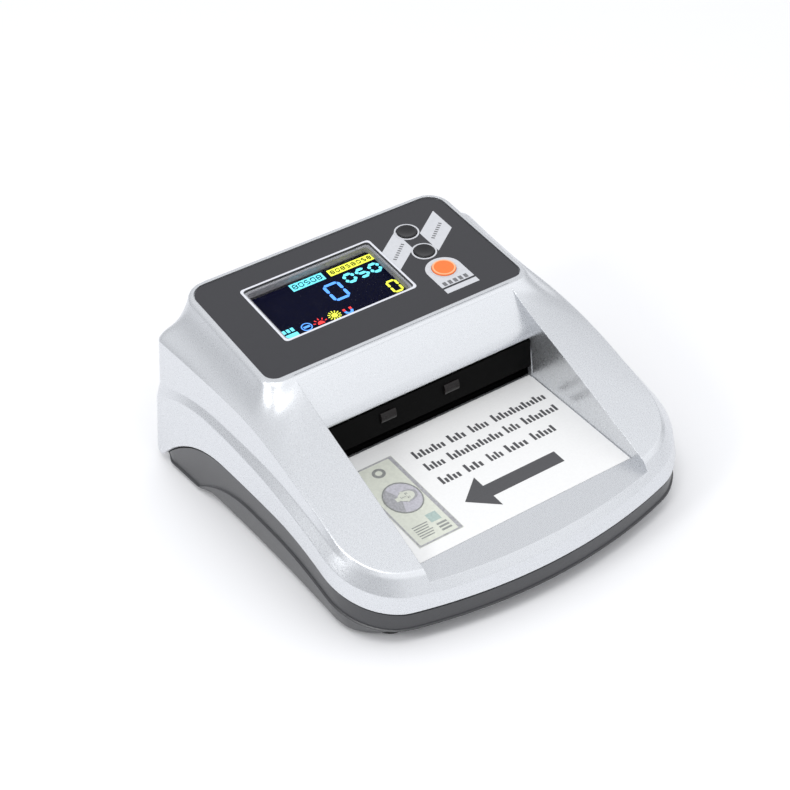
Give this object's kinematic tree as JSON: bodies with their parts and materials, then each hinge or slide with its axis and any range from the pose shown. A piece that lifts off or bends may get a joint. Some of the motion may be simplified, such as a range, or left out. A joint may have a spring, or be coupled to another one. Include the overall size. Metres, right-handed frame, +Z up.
{
  "type": "counterfeit banknote detector",
  "caption": "Desktop automatic banknote authenticity detector: silver clamshell case, note tray and slot, sloping console with colour display and keys, roller note drive, rear exit slot",
  "frame": {"origin": "on the table under the centre of the bounding box", "axes": "+Z up, +Y to the rear where notes leave, +X to the user's right"},
  "size_m": [0.1422, 0.1406, 0.062],
  "materials": {
    "silver_cover": "silver metallic paint, satin, fine sparkle",
    "base_plastic": "dark grey, fine texture",
    "panel_film": "dark charcoal printed film",
    "display_glass": "dark smoked window over a colour display",
    "black_plastic": "black, satin",
    "key_dark": "dark grey, gloss",
    "key_orange": "orange, satin",
    "sensor_lens": "dark infrared window",
    "label_paper": "white printed vinyl",
    "rubber": "matt black rubber",
    "steel": "plated sheet and rod",
    "gear_plastic": "natural acetal",
    "circuit_board": "green solder mask",
    "brass": "turned brass"
  },
  "bodies": {
    "housing": {"top_cover": "silver_cover", "base_shell": "base_plastic", "panel_film": "panel_film", "display_window": "display_glass", "lcd_module": "display_glass", "display_frame": "black_plastic", "mouth_guard": "black_plastic", "lower_note_guide": "black_plastic", "upper_note_guide": "black_plastic", "battery_pack": "black_plastic", "dc_jack": "black_plastic", "rocker_housing": "black_plastic", "encoder_sensor": "black_plastic", "switch_currency": "black_plastic", "switch_function": "black_plastic", "switch_reset": "black_plastic", "note_sensor_left": "sensor_lens", "note_sensor_right": "sensor_lens", "instruction_label": "label_paper", "foot_front_left": "rubber", "foot_front_right": "rubber", "foot_rear_left": "rubber", "foot_rear_right": "rubber", "chassis_plate_left": "steel", "chassis_plate_right": "steel", "idler_stud": "steel", "motor": "steel", "magnetic_head": "steel", "update_port": "steel", "case_screw_front_left": "steel", "case_screw_front_right": "steel", "case_screw_rear_left": "steel", "case_screw_rear_right": "steel", "key_board": "circuit_board", "uv_sensor_board": "circuit_board", "ir_sensor_board": "circuit_board", "main_board": "circuit_board"},
    "feed_front": {"feed_shaft_front": "steel", "feed_roller_front_left": "rubber", "feed_roller_front_right": "rubber", "feed_gear_front": "gear_plastic"},
    "feed_rear": {"feed_shaft_rear": "steel", "feed_roller_rear_left": "rubber", "feed_roller_rear_right": "rubber", "feed_gear_rear": "gear_plastic", "encoder_disc": "black_plastic"},
    "pinch_front": {"pinch_shaft_front": "steel", "pinch_roller_front_left": "gear_plastic", "pinch_roller_front_right": "gear_plastic"},
    "pinch_rear": {"pinch_shaft_rear": "steel", "pinch_roller_rear_left": "gear_plastic", "pinch_roller_rear_right": "gear_plastic"},
    "idler": {"idler_gear": "gear_plastic"},
    "pinion": {"motor_pinion": "brass", "motor_shaft": "steel"},
    "currency_key": {"button_currency": "key_dark"},
    "function_key": {"button_function": "key_dark"},
    "reset_key": {"button_reset": "key_orange"},
    "rocker": {"power_rocker": "key_dark"},
    "door": {"battery_door": "base_plastic"}
  },
  "joints": [
    {"name": "feed_front_spin", "type": "hinge", "parent": "housing", "child": "feed_front", "pos_m": [0, 0.017, 0.0179], "axis": [1, 0, 0], "continuous": true},
    {"name": "feed_rear_spin", "type": "hinge", "parent": "housing", "child": "feed_rear", "pos_m": [0, 0.049, 0.0179], "axis": [1, 0, 0], "continuous": true},
    {"name": "pinch_front_spin", "type": "hinge", "parent": "housing", "child": "pinch_front", "pos_m": [0, 0.017, 0.0317], "axis": [1, 0, 0], "continuous": true},
    {"name": "pinch_rear_spin", "type": "hinge", "parent": "housing", "child": "pinch_rear", "pos_m": [0, 0.049, 0.0317], "axis": [1, 0, 0], "continuous": true},
    {"name": "idler_spin", "type": "hinge", "parent": "housing", "child": "idler", "pos_m": [0, 0.033, 0.0179], "axis": [1, 0, 0], "continuous": true},
    {"name": "pinion_spin", "type": "hinge", "parent": "housing", "child": "pinion", "pos_m": [0, 0.00194, 0.0125], "axis": [1, 0, 0], "continuous": true},
    {"name": "currency_press", "type": "slide", "parent": "housing", "child": "currency_key", "axis": [0, 0.1025, -0.9947], "range_m": [0, 0.0008], "stiffness_N_per_m": 600},
    {"name": "function_press", "type": "slide", "parent": "housing", "child": "function_key", "axis": [0, 0.1025, -0.9947], "range_m": [0, 0.0008], "stiffness_N_per_m": 600},
    {"name": "reset_press", "type": "slide", "parent": "housing", "child": "reset_key", "axis": [0, 0.1025, -0.9947], "range_m": [0, 0.0008], "stiffness_N_per_m": 600},
    {"name": "rocker_tilt", "type": "hinge", "parent": "housing", "child": "rocker", "pos_m": [-0.048, 0.0681, 0.014], "axis": [0, 0, 1], "range_deg": [0, 16]},
    {"name": "door_slide", "type": "slide", "parent": "housing", "child": "door", "axis": [0, 1, 0], "range_m": [0, 0.009]}
  ],
  "couplings": [
    {"joint": "feed_rear_spin", "follows": "feed_front_spin", "ratio": 1},
    {"joint": "idler_spin", "follows": "feed_front_spin", "ratio": -1.9091},
    {"joint": "pinion_spin", "follows": "feed_front_spin", "ratio": -1.9091},
    {"joint": "pinch_front_spin", "follows": "feed_front_spin", "ratio": -1.0769},
    {"joint": "pinch_rear_spin", "follows": "feed_front_spin", "ratio": -1.0769}
  ]
}
